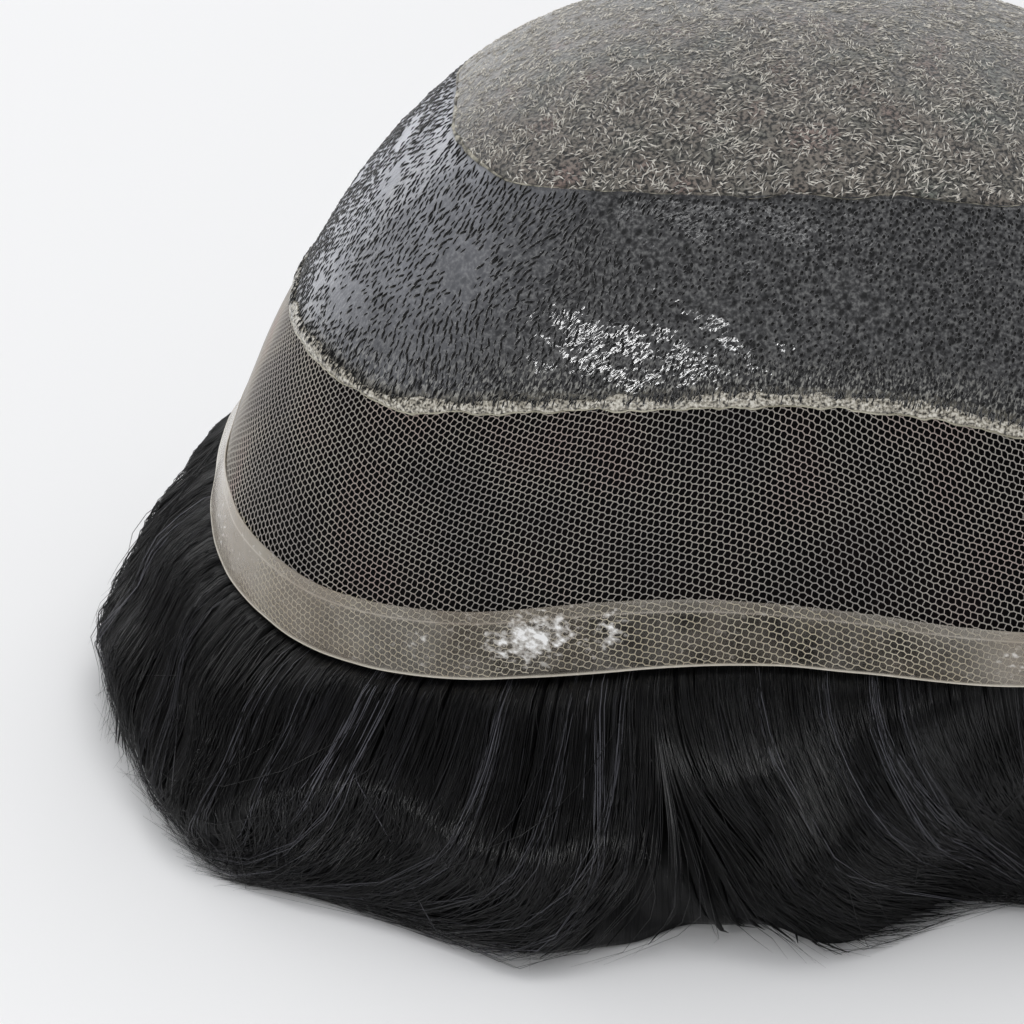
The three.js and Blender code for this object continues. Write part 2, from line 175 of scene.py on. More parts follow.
# The base is a dome of hexagonal tulle, shaped over a head block. Its net runs on round the dome at a
# slant, so its rows close on themselves, and shows bare between the edge band and the bead.
RIM_HALF_LENGTH = 84.8 * MM
RIM_HALF_WIDTH = 58 * MM
DOME_RISE = 76.3 * MM
RIM_HEIGHT = 32 * MM
RIM_WAVE = 6 * MM
PLAN_SQUARENESS = 2.58
SIDE_SQUARENESS = 2.1
BAND_WIDTH = 8.5 * MM
BAND_FLARE = 2.4 * MM
LACE_WIDTH = 28 * MM
COATED_WIDTH = 33 * MM
DRAWN_IN_ROWS = [
    # share of the way down from the crown, share of the reach that the side is drawn in
    (-0.35, 0.05), (0, 0.03), (0.35, 0.05), (0.55, 0.076), (0.75, 0.067), (0.88, 0.034), (1, 0),
    (1.12, 0.034),
]
RIM_ROWS = [
    # bearing, rise of the rim, flare of the band, widths of the band, the lace and the coated ring
    (0, -0.3, 0.3, 0.85, 0.92, 1.18),
    (30, -0.4, 0.1, 0.9, 0.95, 1.05),
    (60, 0.1, 0.1, 0.95, 1, 0.92),
    (90, 0.4, 0.1, 1, 1, 0.88),
    (120, 0.45, 0.2, 0.9, 0.85, 0.98),
    (150, 0.48, 0.6, 0.8, 0.7, 1.2),
    (170, 0.05, 1, 0.87, 0.77, 1.22),
    (185, -0.35, 0.45, 1, 0.9, 1.2),
    (200, -0.77, 0.05, 1.1, 1.02, 1.1),
    (215, -1.05, 0.05, 1.1, 1.03, 1.06),
    (230, -0.75, 0.05, 1.14, 1.07, 0.97),
    (245, -0.1, 0.05, 1.18, 1, 0.9),
    (258, 0.38, 0.05, 1.1, 0.98, 0.85),
    (270, 0.57, 0.05, 1, 0.99, 0.85),
    (282, 0.52, 0.05, 0.96, 1.02, 0.85),
    (295, 0.3, 0.05, 0.92, 1.05, 0.9),
    (310, 0.18, 0.05, 0.82, 0.98, 1),
    (330, -0.05, 0.1, 0.8, 0.94, 1.1),
]
RISE, FLARE, BAND, LACE, COATED = 1, 2, 3, 4, 5
lowest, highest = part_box("inner_hair")
DOME_MIDDLE = np.array([(lowest.x + highest.x) / 2, (lowest.y + highest.y) / 2, 0])

CELL_STEPS_ROUND = 447
CELL_ROWS_ROUND = 164
HALF_STEPS_LAID = np.arange(-240, 2 * CELL_STEPS_ROUND + 80)
ROWS_LAID = np.arange(-5, 290)
ROW_TO_STEP = 1.0
ZIGZAG = 0.075
STRAND_WIDTH = 0.155 * MM
UPRIGHT_WIDTH = 0.12 * MM
STRAND_HEIGHT = 0.11 * MM
THICKER_ROWS = [
    # bearing, share of the threads' width
    (150, 1), (175, 1.35), (200, 1.35), (225, 1.05),
]
CELL_WANDER = 0.35 * MM
WANDER_SIZE = 14 * MM
CELL_UNEVEN = 0.085
NET_FOOT = 0.3 * MM
NET_UNDER_BEAD = 0.2 * MM
WAVES_IN_LUMPS = 14


def smooth_through(at, value, where):
    """The value at each place on a smooth curve through rows. The end rows only steer the curve."""
    slope = (value[2:] - value[:-2]) / (at[2:] - at[:-2])
    row = np.clip(np.searchsorted(at, where, side="right") - 1, 1, len(at) - 3)
    span = at[row + 1] - at[row]
    share = (where - at[row]) / span
    square, cube = share ** 2, share ** 3
    start = (2 * cube - 3 * square + 1) * value[row] + (cube - 2 * square + share) * slope[row - 1] * span
    end = (3 * square - 2 * cube) * value[row + 1] + (cube - square) * slope[row] * span
    return start + end


def by_bearing(rows, bearing):
    """A share that goes evenly from row to row, and stays as it is past the end rows."""
    return np.interp(bearing, *zip(*rows))


def round_rows(rows, column, bearing):
    """A column of rows that run right round the dome."""
    table = np.array(rows, float)
    at = np.concatenate([table[-2:, 0] - 360, table[:, 0], table[:2, 0] + 360])
    value = np.concatenate([table[-2:, column], table[:, column], table[:2, column]])
    return smooth_through(at, value, np.mod(bearing, 360))


def plan(bearing, share):
    """A place in the dome's plan, at a share of the rim's reach."""
    angle = np.radians(bearing)
    along = np.abs(np.cos(angle) / RIM_HALF_LENGTH) ** PLAN_SQUARENESS
    across = np.abs(np.sin(angle) / RIM_HALF_WIDTH) ** PLAN_SQUARENESS
    reach = share * (along + across) ** (-1 / PLAN_SQUARENESS)
    return np.stack([reach * np.cos(angle), reach * np.sin(angle), 0 * reach], -1)


def rim_height(bearing):
    return RIM_HEIGHT + RIM_WAVE * round_rows(RIM_ROWS, RISE, bearing)


def plan_share(down):
    """The share of the rim's reach that the skin has at a share of the way down."""
    drawn_in = np.array(DRAWN_IN_ROWS)
    sine = np.maximum(np.sin(down * math.pi / 2), 0)
    return sine ** (2 / SIDE_SQUARENESS) * (1 - smooth_through(drawn_in[:, 0], drawn_in[:, 1], down))


def skin(bearing, down):
    """A point of the base's outer face: down is 0 at the crown and 1 at the rim."""
    bearing, down = np.broadcast_arrays(bearing, down)
    points = plan(bearing, plan_share(down)) + DOME_MIDDLE
    cosine = np.maximum(np.cos(down * math.pi / 2), 0)
    points[..., 2] = RIM_HEIGHT + DOME_RISE * cosine ** (2 / SIDE_SQUARENESS)
    points[..., 2] += (rim_height(bearing) - RIM_HEIGHT) * down ** 3
    return points


def unit(vectors):
    return vectors / np.maximum(np.linalg.norm(vectors, axis=-1, keepdims=True), 1e-12)


def skin_normal(bearing, down):
    step = 0.004
    fall = skin(bearing, np.minimum(down + step, 1)) - skin(bearing, np.maximum(down - step, 0))
    turn = skin(bearing + 1, down) - skin(bearing - 1, down)
    return unit(np.cross(fall, turn))


BEARING_STEP = 2
CLIMB_STEP = 0.5 * MM
table_bearings = np.arange(0, 360, BEARING_STEP)
table_downs = np.linspace(1, 0, 161)
table_climbs = np.arange(0, 0.14, CLIMB_STEP)
meridians = skin(table_bearings[:, None], table_downs[None, :])
steps_up = np.linalg.norm(np.diff(meridians, axis=1), axis=-1)
lengths_up = np.concatenate([np.zeros((len(table_bearings), 1)), np.cumsum(steps_up, axis=1)], axis=1)
downs_by_climb = np.array([np.interp(table_climbs, lengths, table_downs) for lengths in lengths_up])


def down_after(bearing, climb):
    """How far down the dome a climb along its skin from the rim ends."""
    column = np.mod(bearing, 360) / BEARING_STEP
    row = np.clip(climb / CLIMB_STEP, 0, len(table_climbs) - 1.001)
    left, below = column.astype(int), row.astype(int)
    aside, above = column - left, row - below
    left, right = left % len(table_bearings), (left + 1) % len(table_bearings)
    here = downs_by_climb[left, below] * (1 - above) + downs_by_climb[left, below + 1] * above
    there = downs_by_climb[right, below] * (1 - above) + downs_by_climb[right, below + 1] * above
    return here * (1 - aside) + there * aside


def band_top(bearing):
    return BAND_WIDTH * round_rows(RIM_ROWS, BAND, bearing)


def lace_top(bearing):
    return band_top(bearing) + LACE_WIDTH * round_rows(RIM_ROWS, LACE, bearing)


def coated_top(bearing):
    return lace_top(bearing) + COATED_WIDTH * round_rows(RIM_ROWS, COATED, bearing)


def on_base(bearing, climb, proud=0.0):
    """A point at a climb from the rim, some way off the skin, and the skin's normal. The band flares."""
    bearing, climb, proud = np.broadcast_arrays(np.asarray(bearing, float), climb, proud)
    down = down_after(bearing, climb)
    normal = skin_normal(bearing, down)
    flare = BAND_FLARE * round_rows(RIM_ROWS, FLARE, bearing)
    off = proud + flare * np.clip(1 - climb / band_top(bearing), 0, 1) ** 2
    return skin(bearing, down) + normal * off[..., None], normal


def lumps(points, size, seed):
    """A smooth unevenness between about -1 and 1 over points, its lumps about one size across."""
    waves = np.random.default_rng(seed)
    total = np.zeros(points.shape[:-1])
    for _ in range(WAVES_IN_LUMPS):
        way = unit(waves.normal(size=3)) * 2 * math.pi / (size * waves.uniform(0.8, 2.2))
        total += np.sin(points @ way + waves.uniform(0, 2 * math.pi))
    return total / math.sqrt(WAVES_IN_LUMPS / 2) / 1.6


def piece(name, corners, faces, finish, stands_for=(), notes=None):
    """A named part of the hairpiece, shaded smooth, with numbers noted at its corners for its finish."""
    mesh = bpy.data.meshes.new(name)
    mesh.from_pydata(corners.reshape(-1, 3).tolist(), [], faces.tolist())
    mesh.shade_smooth()
    mesh.materials.append(finish)
    for note, values in (notes or {}).items():
        attribute = mesh.attributes.new(note, "FLOAT_VECTOR", "POINT")
        attribute.data.foreach_set("vector", values.astype(np.float32).ravel())
    made = placed(name, mesh)
    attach(made, "root")
    if stands_for:
        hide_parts(*stands_for)
    return made


def repeated(sides, corners):
    """The faces of one small shape, repeated for each of a row of such shapes."""
    firsts = corners[0].size // 3 * np.arange(len(corners))
    return (sides[None] + firsts[:, None, None]).reshape(-1, sides.shape[1])


def threads(starts, ends, start_normals, end_normals, width, height):
    """Three-sided threads from point to point, the third side's edge standing up from the skin."""
    along = unit(ends - starts)
    across = unit(np.cross(along, start_normals + end_normals)) * width[:, None] / 2
    base = [starts - across, starts + across, starts + start_normals * height]
    tips = [ends - across, ends + across, ends + end_normals * height]
    corners = np.stack(base + tips, axis=1)
    sides = np.array([[0, 1, 4, 3], [1, 2, 5, 4], [2, 0, 3, 5]])
    return corners, repeated(sides, corners)


def wound_rows(level, steps_round, rows_round, row_to_step):
    """How a slanting net is laid round the dome: its step, its slant, and bearings by length."""
    bearings = np.linspace(0, 360, 721)
    loop, _ = on_base(bearings, level(bearings))
    run = np.concatenate([[0], np.cumsum(np.linalg.norm(np.diff(loop, axis=0), axis=-1))])
    slant = math.atan2(rows_round * row_to_step, steps_round)
    step = run[-1] / (steps_round * math.cos(slant) + rows_round * row_to_step * math.sin(slant))
    return step, slant, run, bearings


def net_place(across, up, wound, row_to_step):
    """The bearing and climb of a net's place, given in steps along a row and in rows."""
    step, slant, run, bearings = wound
    forward = across * step * math.cos(slant) + up * step * row_to_step * math.sin(slant)
    climb = up * step * row_to_step * math.cos(slant) - across * step * math.sin(slant)
    return forward, np.interp(np.mod(forward, run[-1]), run, bearings), climb


wound_lace = wound_rows(lambda bearing: (band_top(bearing) + lace_top(bearing)) / 2,
                        CELL_STEPS_ROUND, CELL_ROWS_ROUND, ROW_TO_STEP)
half_steps, cell_rows = np.meshgrid(HALF_STEPS_LAID, ROWS_LAID)
is_high = (half_steps + cell_rows) % 2 == 0


def cell_corner(half_step, cell_row):
    """A corner of the hexagons: along each row they lie high and low by turns."""
    high = np.where((half_step + cell_row) % 2 == 0, 1, -1)
    uneven_across = np.sin(half_step * 12.9898 + cell_row * 78.233) * CELL_UNEVEN
    uneven_up = np.sin(half_step * 39.346 + cell_row * 11.135) * CELL_UNEVEN
    across, up = half_step / 2 + uneven_across, cell_row + high * ZIGZAG + uneven_up
    return net_place(across, up, wound_lace, ROW_TO_STEP)


edge_starts = [cell_corner(half_steps, cell_rows), cell_corner(half_steps[is_high], cell_rows[is_high])]
edge_ends = [cell_corner(half_steps + 1, cell_rows), cell_corner(half_steps[is_high], cell_rows[is_high] + 1)]
net_starts = np.concatenate([np.stack([part.ravel() for part in side]) for side in edge_starts], axis=1)
net_ends = np.concatenate([np.stack([part.ravel() for part in side]) for side in edge_ends], axis=1)
net_middle = (net_starts + net_ends) / 2
net_width = np.where(np.arange(net_middle.shape[1]) < half_steps.size, STRAND_WIDTH, UPRIGHT_WIDTH)
in_turn = (net_middle[0] >= 0) & (net_middle[0] < wound_lace[2][-1]) & (net_middle[2] > NET_FOOT)
in_net = in_turn & (net_middle[2] < lace_top(net_starts[1]) - NET_UNDER_BEAD)
net_starts, net_ends, net_middle = net_starts[:, in_net], net_ends[:, in_net], net_middle[:, in_net]
net_width = net_width[in_net] * by_bearing(THICKER_ROWS, net_middle[1])


def net_piece(name, chosen, finish, stands_for):
    """The chosen threads of the net as one piece."""
    ends = []
    for forward, bearing, climb in (net_starts[:, chosen], net_ends[:, chosen]):
        point, _ = on_base(bearing, climb)
        wander = CELL_WANDER * lumps(point, WANDER_SIZE, 3)
        ends.append(on_base(bearing, np.maximum(climb + wander, 0)))
    (starts, start_normals), (tips, tip_normals) = ends
    corners, faces = threads(starts, tips, start_normals, tip_normals, net_width[chosen], STRAND_HEIGHT)
    return piece(name, corners, faces, finish, stands_for)


def shades(finish, factor, stops):
    """Colours that follow a factor from one stop to the next."""
    ramp = node(finish, "ValToRGB", Fac=factor)
    elements = ramp.color_ramp.elements
    for index, (place, code) in enumerate(stops):
        element = elements[index] if index < 2 else elements.new(place)
        element.position = place
        element.color = colour(code)
    return ramp.outputs["Color"]


def mottled(name, patch, stops, ripple, depth, **sockets):
    """A finish that changes shade in patches of one size, over a relief of ripples of another."""
    made, shader = new_finish(name, **sockets)
    feed(made, shader, Base_Color=shades(made, grain(made, patch), stops),
         Normal=relief(made, grain(made, ripple), depth))
    return made


tulle = mottled("tulle_thread", 16 * MM, [(0.35, "b5a49c"), (0.5, "b4ada3"), (0.65, "a39d97")],
                0.15 * MM, 0.03 * MM, Roughness=0.55, Sheen_Weight=0.4, Sheen_Roughness=0.4)

is_lace = net_middle[2] > band_top(net_middle[1])
is_front = net_middle[1] > 180
net_piece("lace_net_front", is_lace & is_front, tulle, ["lace_ring"])
net_piece("lace_net_back", is_lace & ~is_front, tulle, ["lace_ring"])

# The edge band is a clear polymer film cured over the rim of the net, where the tape is stuck. It is
# milky at the left end, creased at the front, and its cut lower edge is a little thicker. Its creases
# have a painted glare, near white and more opaque.
FILM_PROUD = 0.3 * MM
FILM_WALL = 0.2 * MM
FILM_EDGE = 0.12 * MM
FILM_BUMP = 0.1 * MM
FILM_CREASE = 0.42 * MM
FILM_COLUMNS = 480
FILM_HEIGHTS = [
    # share of the band's width from the cut edge up, milkiness that the film has there beyond its own
    (0, 0.9), (0.012, 0.75), (0.026, 0.1), (0.05, 0), (0.1, 0), (0.18, 0), (0.26, 0), (0.34, 0), (0.42, 0),
    (0.5, 0), (0.58, 0), (0.66, 0), (0.74, 0), (0.8, 0.03), (0.825, 0.4), (0.84, 0.12), (0.88, 0.08),
    (0.95, 0.1), (1, 0.25),
]
MILK_ROWS = [
    # bearing, share of milkiness
    (0, 0.1), (60, 0.1), (120, 0.14), (165, 0.7), (185, 0.95), (198, 0.62), (210, 0.28), (222, 0.14),
    (235, 0.08), (250, 0.03), (262, 0.02), (280, 0.03), (294, 0.08), (301, 0.3), (310, 0.16), (330, 0.1),
]
CREASE_HEIGHT = 0.3
FILM_EDGE_SHARE = 0.02
FILM_OVER_LACE = 0.3 * MM
CREASES = [
    # bearing, share of the width, half length in degrees, strength
    (239.5, 0.58, 5.2, 1.0), (248.6, 0.6, 1.6, 0.68), (227, 0.5, 1.3, 0.34), (301, 0.5, 3, 0.3),
    (196, 0.3, 1.5, 0.3), (30, 0.5, 4, 0.5), (95, 0.6, 4, 0.8), (130, 0.4, 3, 0.4),
]


def closed_grid(loops, sides, ends_meet=True):
    """Faces between loops of corners, the last loop meeting the first if the ends meet."""
    loop, side = np.meshgrid(np.arange(loops if ends_meet else loops - 1), np.arange(sides), indexing="ij")
    here, there = loop * sides, (loop + 1) % loops * sides
    turn = (side + 1) % sides
    return np.stack([here + side, there + side, there + turn, here + turn], -1).reshape(-1, 4)


def creased(bearing, share):
    """How much the film is crumpled at a place of the band."""
    total = np.zeros(np.broadcast(bearing, share).shape)
    for place, height, half_length, strength in CREASES:
        aside = (np.mod(bearing - place + 180, 360) - 180) / half_length
        total = np.maximum(total, strength * np.exp(-aside ** 2 - ((share - height) / CREASE_HEIGHT) ** 2))
    return total


film_bearings = np.linspace(0, 360, FILM_COLUMNS, endpoint=False)[:, None]
film_shares = np.array(FILM_HEIGHTS)[None, :, 0]
film_climbs = film_shares * (band_top(film_bearings) + FILM_OVER_LACE)
film_base, film_normals = on_base(film_bearings, film_climbs)
crumple = creased(film_bearings, film_shares)
film_edge = FILM_EDGE * np.exp(-(film_shares / FILM_EDGE_SHARE) ** 2)
film_lift = FILM_PROUD + film_edge + FILM_BUMP * lumps(film_base, 9 * MM, 5)
film_lift = film_lift + FILM_CREASE * crumple * np.abs(lumps(film_base, 2.2 * MM, 6))
film_outer = film_base + film_normals * film_lift[..., None]
film_inner = film_outer - film_normals * (FILM_WALL + film_edge)[..., None]
film_corners = np.concatenate([film_outer, film_inner[:, ::-1]], axis=1)
film_milk = round_rows(MILK_ROWS, 1, film_bearings) + np.array(FILM_HEIGHTS)[None, :, 1]
film_edge_share = np.broadcast_to(np.exp(-(film_shares / FILM_EDGE_SHARE) ** 2), crumple.shape)
# The second number is the crease's strength, which also sets the painted glare.
film_notes = np.stack([film_milk, crumple, film_edge_share], -1)
film_notes = np.concatenate([film_notes, film_notes[:, ::-1]], axis=1)


def worked(finish, operation, first, second, clamp=False):
    """Two plain numbers of a finish worked into one."""
    made = node(finish, "Math", Value=first)
    made.operation = operation
    made.use_clamp = clamp
    if isinstance(second, bpy.types.NodeSocket):
        finish.node_tree.links.new(second, made.inputs[1])
    else:
        made.inputs[1].default_value = second
    return made.outputs["Value"]


def levels(finish, factor, low, high, ends=(0.35, 0.65)):
    """A plain number that goes from low to high with a factor."""
    return node(finish, "MapRange", Value=factor, From_Min=ends[0], From_Max=ends[1],
                To_Min=low, To_Max=high).outputs["Result"]


def noted(finish, note):
    """Numbers noted at a mesh's corners, as a vector."""
    made = node(finish, "Attribute")
    made.attribute_name = note
    return made.outputs["Vector"]


def mixed(finish, factor, first, second):
    """A colour that goes from the first to the second with a factor."""
    return node(finish, "MixRGB", Fac=factor, Color1=first, Color2=second).outputs["Color"]


film, film_shader = new_finish("clear_film", Roughness=0.16, IOR=1.45, Coat_Weight=0.3, Coat_Roughness=0.05)
film_parts = node(film, "SeparateXYZ", Vector=noted(film, "milk")).outputs
# Painted glare: over the creases and in patches the film turns near white and more opaque.
film_glare_patches = levels(film, grain(film, 1.2 * MM, 5.0, (1.0, 1.0, 1.4)), 0.0, 1.0, (0.32, 0.68))
film_glare = levels(film, worked(film, "ADD", film_parts["Y"], film_glare_patches), 0.0, 0.95, (0.9, 1.55))
film_tint = shades(film, grain(film, 12 * MM), [(0.35, "b3a899"), (0.65, "c4bdb1")])
film_painted_glare_colour = mixed(film, film_glare, film_tint, colour("fbfbfa"))
film_rim = mixed(film, film_parts["Z"], film_painted_glare_colour, colour("e2dccd"))
film_cloud = levels(film, grain(film, 5 * MM), 0.0, 0.08)
film_whole = worked(film, "ADD", film_parts["X"], worked(film, "ADD", film_cloud, film_glare), True)
film_waves = relief(film, grain(film, 0.7 * MM), 0.14 * MM)
feed(film, film_shader, Base_Color=film_rim, Alpha=film_whole, Normal=film_waves,
     Coat_Normal=film_waves)
piece("edge_film", film_corners, closed_grid(FILM_COLUMNS, 2 * len(FILM_HEIGHTS)), film,
      ["edge_band"], {"milk": film_notes})

sealed = mottled("sealed_thread", 8 * MM, [(0.35, "d2c7ae"), (0.65, "e2dac6")], 0.2 * MM, 0.03 * MM,
                 Roughness=0.35)
net_piece("band_net", ~is_lace, sealed, ["edge_band"])

# The coated ring is fine gauze dipped in clear polymer, with dark hairs knotted through it in slanting
# rows. The coat is glossy and lumpy over the knots, and smooth in patches. Towards the left end a pale
# bluish sheen is painted into its colour.
GAUZE_COLUMNS = 380
GAUZE_ROWS = 34
GAUZE_INNER_STEP = 7
PAINTED_SHEEN_ROWS = [
    # bearing, share of the painted pale sheen
    (140, 0), (165, 0.5), (190, 0.75), (205, 0.55), (232, 0),
]
PAINTED_SHEEN_AT_BEAD = 0.4
STROKE_SIZE = 1.15 * MM
DASH_SIZE = 0.3 * MM
RIPPLE_SIZE = 0.6 * MM
GAUZE_WALL = 0.9 * MM
GAUZE_LUMP = 0.07 * MM
STROKE_SLANT = (0.0, math.radians(-55), 0.0)
DASH_SLANT = (0.0, math.radians(-78), 0.0)
KNOT_STEPS_ROUND = 308
KNOT_ROWS_ROUND = 112
KNOT_STEPS_LAID = np.arange(-120, KNOT_STEPS_ROUND + 60)
KNOT_ROWS_LAID = np.arange(0, 260)
KNOT_ROW_TO_STEP = 0.85
KNOT_WANDER = 0.16
KNOT_LENGTH = 1.05 * MM
KNOT_WIDTH = 0.68 * MM
KNOT_HEIGHT = 0.14 * MM


def gauze_lift(points):
    """How far the lumpy coat stands off the skin."""
    return GAUZE_LUMP * (lumps(points, 3 * MM, 8) + lumps(points, 12 * MM, 9))


def laid(finish, slant, stretch):
    """A place in a pattern whose marks are drawn out along a slanting line."""
    place = node(finish, "Mapping", Vector=node(finish, "TexCoord").outputs["Object"],
                 Rotation=slant, Scale=stretch)
    place.vector_type = "TEXTURE"
    return place.outputs["Vector"]


gauze_bearings = np.linspace(0, 360, GAUZE_COLUMNS, endpoint=False)[:, None]
gauze_shares = np.linspace(0, 1, GAUZE_ROWS)[None, :]
gauze_climbs = lace_top(gauze_bearings) * (1 - gauze_shares) + coated_top(gauze_bearings) * gauze_shares
gauze_outer, gauze_normals = on_base(gauze_bearings, gauze_climbs)
gauze_outer = gauze_outer + gauze_normals * gauze_lift(gauze_outer)[..., None]
gauze_inner = (gauze_outer - gauze_normals * GAUZE_WALL)[:, ::-GAUZE_INNER_STEP]
gauze_corners = np.concatenate([gauze_outer, gauze_inner], axis=1)
gauze_rise = np.broadcast_to(gauze_shares, gauze_outer.shape[:2])
# Painted sheen: a share by bearing, largest towards the left end, noted as the second number at the coat's
# corners.
gauze_painted_sheen = by_bearing(PAINTED_SHEEN_ROWS, gauze_bearings) * (PAINTED_SHEEN_AT_BEAD + (1 - PAINTED_SHEEN_AT_BEAD) * gauze_shares)
gauze_notes = np.stack([gauze_rise, gauze_painted_sheen, 0 * gauze_painted_sheen], -1)
gauze_notes = np.concatenate([gauze_notes, gauze_notes[:, ::-GAUZE_INNER_STEP]], axis=1)

coat, coat_shader = new_finish("polymer_coat", Roughness=0.4, Specular_IOR_Level=0.3, Coat_Weight=0.6,
                               Coat_Roughness=0.07, Sheen_Weight=0.85, Sheen_Roughness=0.42,
                               Sheen_Tint=colour("e6e8f0"))
coat_fine = grain(coat, 0.5 * MM, 4.0)
coat_grey = shades(coat, coat_fine, [(0.34, "242425"), (0.5, "444445"), (0.66, "6b6b6a")])
coat_dots = node(coat, "TexVoronoi", Vector=laid(coat, STROKE_SLANT, (1.7, 1.0, 1.0)), Scale=1 / STROKE_SIZE)
coat_ink = levels(coat, coat_dots.outputs["Distance"], 0.95, 0.0, (0.22, 0.42))
coat_inked = mixed(coat, coat_ink, coat_grey, colour("0b0b0c"))
coat_parts = node(coat, "SeparateXYZ", Vector=noted(coat, "rise")).outputs
coat_rise = coat_parts["X"]
dash_fine = node(coat, "TexNoise", Vector=laid(coat, DASH_SLANT, (5.0, 1.0, 1.0)), Scale=1 / DASH_SIZE,
                 Detail=3.0)
coat_dashes = shades(coat, dash_fine.outputs["Fac"], [(0.36, "070708"), (0.5, "29292a"), (0.62, "9a9993")])
coat_edge = levels(coat, worked(coat, "ADD", coat_rise, worked(coat, "MULTIPLY", coat_fine, 0.16)), 1.0, 0.0,
                   (0.14, 0.34))
coat_colour = mixed(coat, coat_edge, coat_inked, coat_dashes)
coat_cream = levels(coat, worked(coat, "ADD", coat_rise, worked(coat, "MULTIPLY", coat_fine, 0.1)), 0.8, 0.0,
                    (0.05, 0.13))
# Painted sheen: the coat's colour is paled to a light bluish grey where the noted share is high.
coat_painted_sheen = worked(coat, "MULTIPLY", coat_parts["Y"], levels(coat, grain(coat, 6 * MM), 0.7, 1.2))
coat_with_painted_sheen = mixed(coat, coat_painted_sheen, coat_colour, colour("b3b5bc"))
coat_creamed = mixed(coat, coat_cream, coat_with_painted_sheen, colour("8f8a7c"))
coat_ripple = node(coat, "TexNoise", Vector=laid(coat, STROKE_SLANT, (3.0, 1.0, 1.0)), Scale=1 / RIPPLE_SIZE,
                   Detail=1.0)
coat_knob = worked(coat, "MULTIPLY", coat_dots.outputs["Distance"], -0.5)
coat_waves = worked(coat, "ADD", coat_knob, coat_fine)
feed(coat, coat_shader, Base_Color=coat_creamed, Normal=relief(coat, coat_waves, 0.22 * MM),
     Coat_Normal=relief(coat, coat_ripple.outputs["Fac"], 0.06 * MM))
piece("coated_gauze", gauze_corners, closed_grid(GAUZE_COLUMNS, gauze_corners.shape[1]), coat,
      ["coated_ring"], {"rise": gauze_notes})

wound_knots = wound_rows(lambda bearing: (lace_top(bearing) + coated_top(bearing)) / 2,
                         KNOT_STEPS_ROUND, KNOT_ROWS_ROUND, KNOT_ROW_TO_STEP)
knot_steps, knot_rows = np.meshgrid(KNOT_STEPS_LAID, KNOT_ROWS_LAID)
knot_luck = np.random.default_rng(21)
knot_across = (knot_steps + knot_rows % 2 / 2 + knot_luck.normal(0, KNOT_WANDER, knot_steps.shape)).ravel()
knot_up = (knot_rows + knot_luck.normal(0, KNOT_WANDER, knot_steps.shape)).ravel()
knot_forward, knot_bearing, knot_climb = net_place(knot_across, knot_up, wound_knots, KNOT_ROW_TO_STEP)
in_ring = (knot_forward >= 0) & (knot_forward < wound_knots[2][-1])
in_ring &= (knot_climb > lace_top(knot_bearing) + MM) & (knot_climb < coated_top(knot_bearing) - 0.5 * MM)
knot_bearing, knot_climb = knot_bearing[in_ring], knot_climb[in_ring]
knot_middle, knot_normal = on_base(knot_bearing, knot_climb)
knot_middle = knot_middle + knot_normal * gauze_lift(knot_middle)[:, None]
is_tied = lumps(knot_middle, 9 * MM, 12) + knot_luck.normal(0, 0.35, len(knot_middle)) > -0.75
knot_middle, knot_normal = knot_middle[is_tied], knot_normal[is_tied]
knot_bearing = knot_bearing[is_tied]


def grains(middle, normal, lean, length, width, height):
    """Small closed grains that lie on the skin, each leaning round from level by its own angle."""
    level = unit(np.cross(np.array([0, 0, 1.0]), normal))
    up = np.cross(normal, level)
    along = level * np.cos(lean)[:, None] + up * np.sin(lean)[:, None]
    across = np.cross(normal, along)
    top = middle + normal * height[:, None]
    base = middle - normal * 0.05 * MM
    half_along, half_across = along * length[:, None] / 2, across * width[:, None] / 2
    turns = np.radians([18, 90, 162, 234, 306])
    ring = [base + half_along * math.cos(turn) + half_across * math.sin(turn) for turn in turns]
    corners = np.stack(ring + [top], axis=1)
    sides = np.array([[0, 1, 5], [1, 2, 5], [2, 3, 5], [3, 4, 5], [4, 0, 5], [2, 1, 0], [3, 2, 0], [4, 3, 0]])
    return corners, repeated(sides, corners)


knot_lean = np.radians(np.interp(knot_bearing, [180, 215, 240, 275, 300], [94, 74, 60, 60, 72]))
knot_lean = knot_lean + 0.25 * lumps(knot_middle, 12 * MM, 14)
knot_lean = knot_lean + knot_luck.normal(0, 0.25, len(knot_middle))
knot_size = knot_luck.uniform(0.6, 1.2, len(knot_middle)) * np.interp(knot_bearing, [225, 250], [1.25, 1])
knot_slim = np.interp(knot_bearing, [150, 175, 235, 255], [1, 1.4, 1.5, 1])
knot_corners, knot_faces = grains(knot_middle, knot_normal, knot_lean, KNOT_LENGTH * knot_size * knot_slim,
                                  KNOT_WIDTH * knot_size / knot_slim, KNOT_HEIGHT * knot_size)
knotted = mottled("knotted_hair", 1.5 * MM, [(0.4, "040404"), (0.65, "0e0e0f")], 0.1 * MM, 0.03 * MM,
                  Roughness=0.35, Specular_IOR_Level=0.3, Sheen_Weight=0.5, Sheen_Roughness=0.4)
piece("hair_knots", knot_corners, knot_faces, knotted)

# The bead is a narrow cream ridge of cured polymer that seals the gauze's lower edge to the tulle. Its
# lip is smooth, and short dark hairs cross it.
BEAD_WIDTH = 2.2 * MM
BEAD_PROUD = 0.55 * MM
BEAD_COLUMNS = 1000
BEAD_SIDES = 10
LIP_WIDTH = 0.3 * MM
CROSSING_HAIRS = 4800
ON_BEAD_SHARE = 0.42

